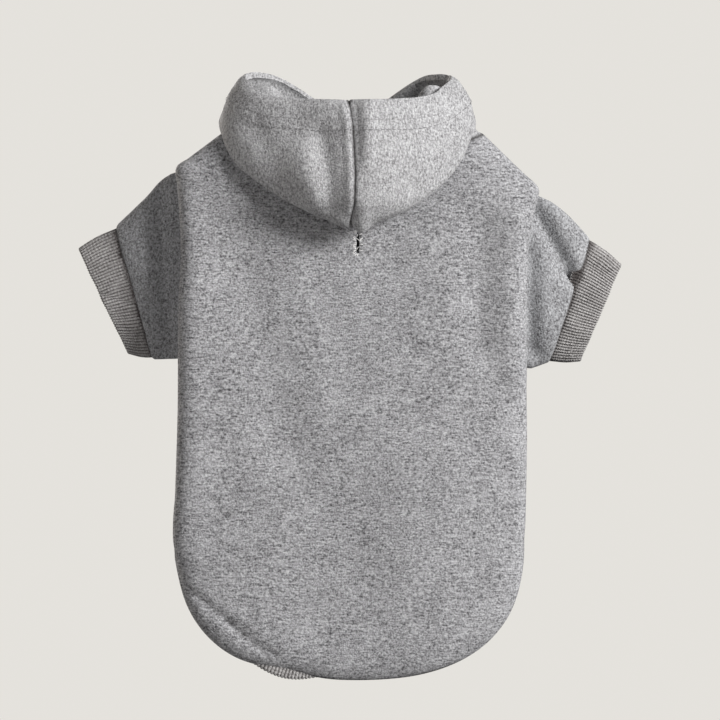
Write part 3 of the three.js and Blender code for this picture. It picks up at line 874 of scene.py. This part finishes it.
for hand, side in SIDES.items():
    table = smooth_rows(range(4), CUFF_TABLE[hand], np.linspace(0, 3, CUFF_ROWS))
    reach, fall, size, lean = table.T
    sections = np.stack([
        BODY_WIDTH / 2 + SLEEVE_REACH + CUFF_GAP + reach * CUFF_REACH,
        fall * ARMHOLE_DROP,
        size * CUFF_HEIGHT - RIB_KNIT,
        np.linspace(CUFF_START, 1, CUFF_ROWS) * size * CUFF_DEPTH - RIB_KNIT,
        lean * CUFF_LEAN,
        np.full(CUFF_ROWS, ARMHOLE_FORWARD + SLEEVE_FORWARD),
    ], 1)
    middle = sections[CUFF_ROWS // 2][None]
    turns = even_turns(lambda fine: limb_points(side, middle, fine), CUFF_RIBS * RIB_STEPS + 1, 1)
    band = limb_points(side, sections, turns)
    way = outward(band, closed=True)
    shown = np.clip((np.arange(CUFF_ROWS) - HIDDEN_ROWS) / FADING_ROWS, 0, 1)
    lift = folds(band, CUFF_FOLDS[hand]) * rearward(way, LIMB_GAIN)
    lift += CUFF_UNEVEN * FACE_SHARE * waves(band, FACE_WAVE, 7 + side)
    band = band + way * (lift * shown)[..., None]
    band[..., 0] += side * CUFF_UNEVEN * waves(band, END_WAVE, 15 + side) * shown
    way = outward(band, closed=True)
    piece = knit_band(f"cuff_{hand}_knit", band, way, CUFF_RIBS, CUFF_SUNK)
    belongs(piece, rib_knit, f"cuff_{hand}")

# The hem rib: a band of the same rib knit round the inside of the bottom opening, sewn to the
# rolled edge. It shows where the edge has slipped up.
HEM_RIB_WIDTH = 0.020
HEM_RIBS = 250
HEM_RIB_STEPS = 6
HEM_RIB_ROWS, HEM_RIB_START = 9, -0.06
# Where the rib shows it hangs lower and further back, over a little more than the slip's width.
SHOWN_SPREAD, SHOWN_DROP, SHOWN_BACK = 1.3, 0.0066, 0.0045
# It does so only at the back, where the angle round the body has at least this sine.
BACK_FROM = 0.5
hem_rows = np.array([
    hem_loop(HEM_TURN + share * HEM_RIB_WIDTH, 0, 2 * HEM_ROLL)
    for share in np.linspace(HEM_RIB_START, 1, HEM_RIB_ROWS)
])
angles = even_turns(
    lambda fine: loop_points(hem_rows[:1], fine), HEM_RIBS * HEM_RIB_STEPS + 1, 2 * math.pi
)
band = loop_points(hem_rows, angles)
apart = (band[..., 0] - SLIP_PLACE) / (SLIP_WIDTH * SHOWN_SPREAD)
shown = np.exp(-(apart**2)) * (band[..., 1] < 0)
shown = shown * np.linspace(1, 0, HEM_RIB_ROWS) * (np.abs(np.sin(angles)) > BACK_FROM)[:, None]
band[..., 2] -= SHOWN_DROP * shown
band[..., 1] -= SHOWN_BACK * shown
way = outward(band, closed=True)
hem_rib = knit_band("hem_rib_knit", band, way, HEM_RIBS)
belongs(hem_rib, rib_knit, "hem_rib")

# The hood: two panels of fleece, joined by a seam over the crown. It rises from the neck, folds
# over and lies down the back as a pouch, with its face edge at the top, which is hemmed with two
# rows of topstitching.
hood_fleece = heather(
    "hood_fleece",
    pale=(0.5, 0.5, 0.51),
    dark=(0.13, 0.126, 0.13),
    along=(0.0008, 0.0028, 0.0022),
)
hood_thread = Finish("hood_thread", Roughness=0.7, Base_Color=(0.2, 0.195, 0.2, 1.0))
HOOD_RISE = 0.034
HOOD_DROP = 0.051
HOOD_REACH = 0.021
STAND_FOLD = 0.003
POUCH_FOLD = 0.0019
# Where cloth that isn't folded bends: shares of the way to the stand, fold and swell.
STAND_BENDS = (0.6, 0.35, 0.7, 0.5)
# Each row: around, stand x and z, fold x, out and z, swell x, out and z, rim x, out and z, folded.
HOOD_TABLE = {
    "left": [
        [0, 0, 0.12, 0, 0.66, -0.98, 0, 0.98, -0.6, 0, 0.68, 0.485, 1],
        [0.12, 0.43, 0.35, 0.36, 0.56, -0.775, 0.38, 0.9, -0.47, 0.36, 0.68, 0.515, 1],
        [0.22, 0.6, 0.735, 0.647, 0.4, -0.543, 0.67, 0.66, -0.25, 0.62, 0.48, 0.574, 1],
        [0.33, 0.806, 0.59, 0.892, 0.29, -0.255, 0.9, 0.4, 0.09, 0.77, 0.34, 0.735, 0.85],
        [0.45, 0.95, 0.147, 1, 0.18, 0.118, 0.95, 0.21, 0.5, 0.83, 0.16, 0.93, 0.2],
        [0.6, 0.957, 0.118, 0.957, 0.02, 0.324, 0.88, 0.02, 0.618, 0.73, 0.02, 1, 0],
        [0.8, 0.6475, -0.176, 0.64, 0.14, 0, 0.604, 0.186, 0.353, 0.49, 0.16, 0.853, 0],
        [1, 0, -0.373, 0, 0.214, -0.216, 0, 0.286, -0.06, 0, 0.333, 0.176, 0],
    ],
    "right": [
        [0, 0, 0.12, 0, 0.66, -1, 0, 0.98, -0.6, 0, 0.68, 0.485, 1],
        [0.12, 0.42, 0.35, 0.39, 0.56, -0.794, 0.4, 0.86, -0.47, 0.374, 0.66, 0.51, 1],
        [0.22, 0.56, 0.735, 0.62, 0.4, -0.578, 0.64, 0.6, -0.25, 0.604, 0.44, 0.58, 1],
        [0.33, 0.75, 0.56, 0.806, 0.29, -0.294, 0.84, 0.36, 0.09, 0.705, 0.3, 0.735, 0.85],
        [0.45, 0.885, 0.147, 0.928, 0.18, 0.118, 0.892, 0.2, 0.5, 0.78, 0.16, 0.9, 0.2],
        [0.6, 0.93, 0.118, 0.892, 0.02, 0.324, 0.82, 0.02, 0.618, 0.67, 0.02, 0.97, 0],
        [0.8, 0.63, -0.176, 0.61, 0.14, 0, 0.57, 0.186, 0.353, 0.475, 0.16, 0.86, 0],
        [1, 0, -0.373, 0, 0.214, -0.216, 0, 0.286, -0.06, 0, 0.333, 0.176, 0],
    ],
}


def hood_stations(side, table):
    """The points [station][9] that the hood's cloth runs through from the neck to its rim."""
    half = NECK_WIDTH / 2
    angle = side * table[:, 0] * math.pi - math.pi / 2
    neck = loop_points(NECK_LOOP[None], angle)[:, 0]
    away = np.stack([np.cos(angle), np.sin(angle), np.zeros(len(angle))], 1)
    behind = away[:, 1] < 0
    depth = np.abs(away[:, 1]) ** LOOP_POWER
    base = np.where(behind, -BACK_SWELL, NECK_FRONT) * depth
    facing = np.where(behind, -1, 1)

    def height(share):
        return share * np.where(share > 0, HOOD_RISE, HOOD_DROP)

    def placed(x, out, z):
        return np.stack([side * x * half, base + facing * out * HOOD_REACH, height(z)], 1)

    _, sx, sz, fx, fo, fz, wx, wo, wz, rx, ro, rz, folded = table.T
    folded = np.clip(folded, 0, 1)[:, None]
    stand = np.stack([side * sx * half, neck[:, 1], height(sz)], 1) + away * STAND_FOLD * folded
    fold, swell, rim = placed(fx, fo, fz), placed(wx, wo, wz), placed(rx, ro, rz)
    up = np.array([0, 0, 1])
    doubled = [
        neck,
        stand - (away + up) * STAND_FOLD,
        stand,
        stand + (away - up) * STAND_FOLD,
        fold + (up - away) * POUCH_FOLD,
        fold,
        fold + (up + away) * POUCH_FOLD,
        swell,
        rim,
    ]
    near, low, high, swollen = STAND_BENDS
    standing = [
        neck,
        neck + (stand - neck) * near,
        stand,
        stand + (fold - stand) * low,
        stand + (fold - stand) * high,
        fold,
        fold + (swell - fold) * swollen,
        swell,
        rim,
    ]
    doubled, standing = np.stack(doubled, 1), np.stack(standing, 1)
    return standing + (doubled - standing) * folded[..., None]


# The steps lie closer together towards the rim.
RIM_CROWDING = 1.6


def centripetal(points, steps):
    """Smooth lines through points [line][k], with so many steps between two points."""
    ends = [2 * points[:, :1] - points[:, 1:2], points, 2 * points[:, -1:] - points[:, -2:-1]]
    p = np.concatenate(ends, 1)
    knot = np.maximum(np.linalg.norm(np.diff(p, axis=1), axis=2, keepdims=True) ** 0.5, 1e-6)
    found = []
    for k in range(points.shape[1] - 1):
        a, b, c, d = (p[:, k + m] for m in range(4))
        before, here, after = (knot[:, k + m] for m in range(3))
        leave = here * ((b - a) / before - (c - a) / (before + here) + (c - b) / here)
        arrive = here * ((c - b) / here - (d - b) / (here + after) + (d - c) / after)
        shares = np.arange(steps) / steps
        if k == points.shape[1] - 2:
            shares = 1 - (1 - shares) ** RIM_CROWDING
        found += [bend(b, c, leave, arrive, t) for t in shares]
    found.append(points[:, -1])
    return np.stack(found, 1)


def read_along(line, gone, places):
    """Points or ways [k][3] along a line, of which gone are the lengths, read at places."""
    return np.stack([np.interp(places, gone, line[:, k]) for k in range(3)], 1)


# Columns are closer together beside the seam.
HOOD_COLUMNS, SEAM_CROWDING = 121, 1.5
HOOD_STEPS = 12
FOLD_STEP = 5 * HOOD_STEPS
HOOD_HEM = 0.0165
HEM_THICKER = 1.5
HEM_STEP = 0.0015
HOOD_UNEVEN, HOOD_WAVE = 0.0007, 0.018
POUCH_FADE = 0.015
# Folds of the pouch, as those of the body.
HOOD_FOLDS = [
    [10.5, 20, 4, -46, 26, 5.3],
    [-27, -10, -20, -36, 6, 1.2],
    [-16, -3, -11.5, -40, 6, -2.5],
    [-30, 18, -27, 2, 12, -2.0],
    [-2.8, 12, -2.2, -40, 2.2, 1.1],
    [3, 14, 2.4, -14, 3, -0.8],
    [9.4, 16, 6.4, -14, 4, 1.5],
    [-50, 4, -38, -24, 7, -1.2],
    [34, 10, 26, -28, 8, -0.8],
    [48, 0, 38, -22, 7, 0.9],
]
# The seam over the crown draws the cloth in: depth and width of the dip, and the darkness and width
# of the painted shade in its groove.
SEAM_DIP, SEAM_DIP_REACH = 0.0019, 0.0011
HOOD_SEAM_SHADE_DARKNESS, HOOD_SEAM_REACH = 0.92, 0.0014
SEAM_SWAY_REACH = 0.022
# The rim curls in: how much, over what length, and on how many rows of points at most.
RIM_CURL, RIM_CURL_REACH, RIM_ROWS = 0.0018, 0.005, 9
# The two corners at the bottom of the seam: rise beside the seam, its width, and a drop beyond.
HOOD_TIPS = {"left": (0.0018, 0.0011, 0.0006), "right": (0.0036, 0.0022, 0.0026)}
TIP_LEVEL, TIP_SPAN = 0.036, 0.010
TIP_DROP_PLACE, TIP_DROP_WIDTH = 0.006, 0.0035
# How the seam wanders: height and offset to the right, from the bottom up.
SEAM_LINE = np.array([
    [-0.055, -0.0012],
    [-0.047, -0.0006],
    [-0.038, 0.0014],
    [-0.021, 0.0019],
    [0.003, 0.0005],
    [0.016, -0.0016],
    [0.030, 0.0],
])
# Points near the rim whose normals tell which way is outward.
TOLD_COLUMNS, TOLD_ROW = 40, -12
# The last rows, among which the stitches lie, and the row whose normals they follow.
HEM_ROWS, HEM_FACE_ROW = 30, -10
# How far from the rim the two rows of topstitching are.
TOPSTITCHES = (0.0105, 0.016)
TOPSTITCH_PITCH = 0.0031
TOPSTITCH_LENGTH, TOPSTITCH_THREAD = 0.0024, 0.0004
LOOK_AHEAD = 0.0005
for hand, side in SIDES.items():
    table = np.array(HOOD_TABLE[hand])
    columns = np.linspace(0, 1, HOOD_COLUMNS) ** SEAM_CROWDING
    stations = smooth_rows(table[:, 0], table, columns)
    panel = centripetal(hood_stations(side, stations), HOOD_STEPS)
    step = np.arange(panel.shape[1])
    outer = np.clip((step - FOLD_STEP) / HOOD_STEPS, 0, 1) * np.ones((HOOD_COLUMNS, 1))
    pouch = outer * np.clip(stations[:, -1:], 0, 1)
    fade = np.clip((panel[..., 2] + HOOD_DROP) / POUCH_FADE, 0, 1)
    panel[..., 1] -= folds(panel, HOOD_FOLDS) * pouch * fade
    panel[..., 1] -= HOOD_UNEVEN * waves(panel, HOOD_WAVE, 9 + side) * pouch
    apart = np.abs(panel[..., 0])
    behind = panel[..., 1] < 0
    sideways = np.interp(panel[..., 2], SEAM_LINE[:, 0], SEAM_LINE[:, 1])
    dip = SEAM_DIP * np.exp(-apart / SEAM_DIP_REACH) * pouch
    way = outward(panel)
    way *= np.sign(-way[..., 1:2])
    panel = panel - way * dip[..., None]
    tip = np.clip((-panel[..., 2] - TIP_LEVEL) / TIP_SPAN, 0, 1) * behind
    rise, width, drop = HOOD_TIPS[hand]
    panel[..., 2] += rise * np.exp(-((apart / width) ** 2)) * tip
    panel[..., 2] -= drop * np.exp(-(((apart - TIP_DROP_PLACE) / TIP_DROP_WIDTH) ** 2)) * tip
    panel[..., 0] += sideways * np.exp(-((apart / SEAM_SWAY_REACH) ** 2)) * behind * outer
    gaps = np.linalg.norm(np.diff(panel, axis=1), axis=2)[:, ::-1]
    from_rim = np.concatenate([np.zeros((HOOD_COLUMNS, 1)), np.cumsum(gaps, 1)], 1)[:, ::-1]
    outside = outward(panel)
    told = (panel * outside)[:TOLD_COLUMNS, TOLD_ROW, 1]
    outside *= np.sign(told.mean())
    near_rim = step > len(step) - RIM_ROWS
    curl = RIM_CURL * np.clip(1 - from_rim / RIM_CURL_REACH, 0, 1) ** 2 * near_rim
    panel = panel - outside * curl[..., None]
    piece = cloth_sheet(f"hood_{hand}_cloth", panel)
    # Painted shade in the groove of the seam over the crown, and along the neck seam.
    seam = HOOD_SEAM_SHADE_DARKNESS * np.exp(-((apart / HOOD_SEAM_REACH) ** 4)) * pouch
    marked(piece, "painted_shade", np.maximum(seam, painted_seam_shade(panel, panel[:, :1])))
    hem = piece.vertex_groups.new(name="hem")
    thick = np.clip((HOOD_HEM - from_rim) / HEM_STEP, 0, 1).reshape(-1)
    for index in np.flatnonzero(thick):
        hem.add([int(index)], float(thick[index]), "REPLACE")
    wear_thickness(piece, CLOTH * HEM_THICKER, rim=0.0009, thin=1 / HEM_THICKER)
    belongs(piece, hood_fleece, f"hood_{hand}")
    skin = panel + outside * (CLOTH * HEM_THICKER / 2)
    middles, along, out = [], [], []
    for distance in TOPSTITCHES:
        line = np.array([
            read_along(skin[c, -HEM_ROWS:], -from_rim[c, -HEM_ROWS:], [-distance])[0]
            for c in range(HOOD_COLUMNS)
        ])
        gone = lengths_to(line)
        at = np.arange(TOPSTITCH_PITCH, gone[-1], TOPSTITCH_PITCH)
        here = read_along(line, gone, at)
        middles.append(here)
        along.append(unit(read_along(line, gone, at + LOOK_AHEAD) - here))
        out.append(unit(read_along(outside[:, HEM_FACE_ROW], gone, at)))
    sewn = [np.concatenate(values) for values in (middles, along, out)]
    topstitch = stitches(f"hood_{hand}_topstitch", *sewn, TOPSTITCH_LENGTH, TOPSTITCH_THREAD)
    belongs(topstitch, hood_thread.material)

# The studio: a soft key light from the upper right, weak warm ones from the left, one that lights
# the belly side, a pale floor well below the garment, and a far camera level with its middle.
VIEW_WIDTH = 0.38304
VIEW_CENTRE = Vector((0.0043, -0.012, -0.1197))
VIEW_DISTANCE = 2.5
bpy.ops.object.camera_add(location=VIEW_CENTRE - Vector((0, VIEW_DISTANCE, 0)))
camera = bpy.context.object
camera.rotation_euler = (math.pi / 2, 0, 0)
camera.data.lens = camera.data.sensor_width * VIEW_DISTANCE / VIEW_WIDTH
camera.data.clip_end = 8 * VIEW_DISTANCE
bpy.context.scene.camera = camera


def soft_light(name, place, size, watts, colour):
    bpy.ops.object.light_add(type="AREA", location=place)
    lamp = bpy.context.object
    lamp.name = name
    lamp.data.size = size
    lamp.data.energy = watts
    lamp.data.color = colour
    lamp.rotation_euler = (VIEW_CENTRE - Vector(place)).to_track_quat("-Z", "Y").to_euler()


soft_light("key_light", (1.98, -1.43, 0.82), 1.0, 123, (1.0, 0.995, 0.985))
soft_light("fill_light", (-1.35, -1.2, -0.45), 1.2, 14, (1.0, 0.975, 0.955))
soft_light("edge_light", (-0.7, 0.5, 0.0), 0.8, 2, (1.0, 0.82, 0.6))
soft_light("belly_light", (-0.9, 1.7, 0.5), 1.0, 30, (1.0, 0.995, 0.985))

FLOOR_SIZE, FLOOR_LEVEL = 8, -0.62
bpy.ops.mesh.primitive_plane_add(size=FLOOR_SIZE, location=(0, 0, FLOOR_LEVEL))
floor = bpy.context.object
floor.name = "floor"
floor.visible_diffuse = floor.visible_glossy = False
pale = Finish(
    "pale_floor",
    Roughness=0.9,
    Base_Color=(0.05, 0.05, 0.05, 1.0),
    Emission_Color=(0.75, 0.73, 0.69, 1.0),
    Emission_Strength=1.0,
)
floor.data.materials.append(pale.material)

# The room looks pale all round. Its light is low, and comes mostly from the level of the eye.
world = bpy.data.worlds.new("studio")
world.use_nodes = True
nodes, links = world.node_tree.nodes, world.node_tree.links
direction = nodes.new("ShaderNodeTexCoord")
part = nodes.new("ShaderNodeSeparateXYZ")
level = nodes.new("ShaderNodeMath")
level.operation = "ABSOLUTE"
room = nodes.new("ShaderNodeValToRGB")
room.color_ramp.elements[0].position = 0.1
room.color_ramp.elements[0].color = (1.0, 0.97, 0.92, 1.0)
room.color_ramp.elements[1].position = 0.22
room.color_ramp.elements[1].color = (0.2, 0.2, 0.2, 1.0)
depth = nodes.new("ShaderNodeMapRange")
for name, value in {"From Min": -0.3, "From Max": 0.3, "To Min": 0.4, "To Max": 0.78}.items():
    depth.inputs[name].default_value = value
seen = nodes.new("ShaderNodeBackground")
seen.inputs["Color"].default_value = (0.78, 0.76, 0.72, 1.0)
either = nodes.new("ShaderNodeMixShader")
links.new(direction.outputs["Generated"], part.inputs[0])
links.new(part.outputs["Z"], level.inputs[0])
links.new(level.outputs[0], room.inputs["Fac"])
links.new(room.outputs["Color"], nodes["Background"].inputs["Color"])
links.new(part.outputs["Y"], depth.inputs["Value"])
links.new(depth.outputs[0], nodes["Background"].inputs["Strength"])
links.new(nodes.new("ShaderNodeLightPath").outputs["Is Camera Ray"], either.inputs[0])
links.new(nodes["Background"].outputs[0], either.inputs[1])
links.new(seen.outputs[0], either.inputs[2])
links.new(either.outputs[0], nodes["World Output"].inputs["Surface"])
bpy.context.scene.world = world
bpy.context.scene.view_settings.view_transform = "Standard"
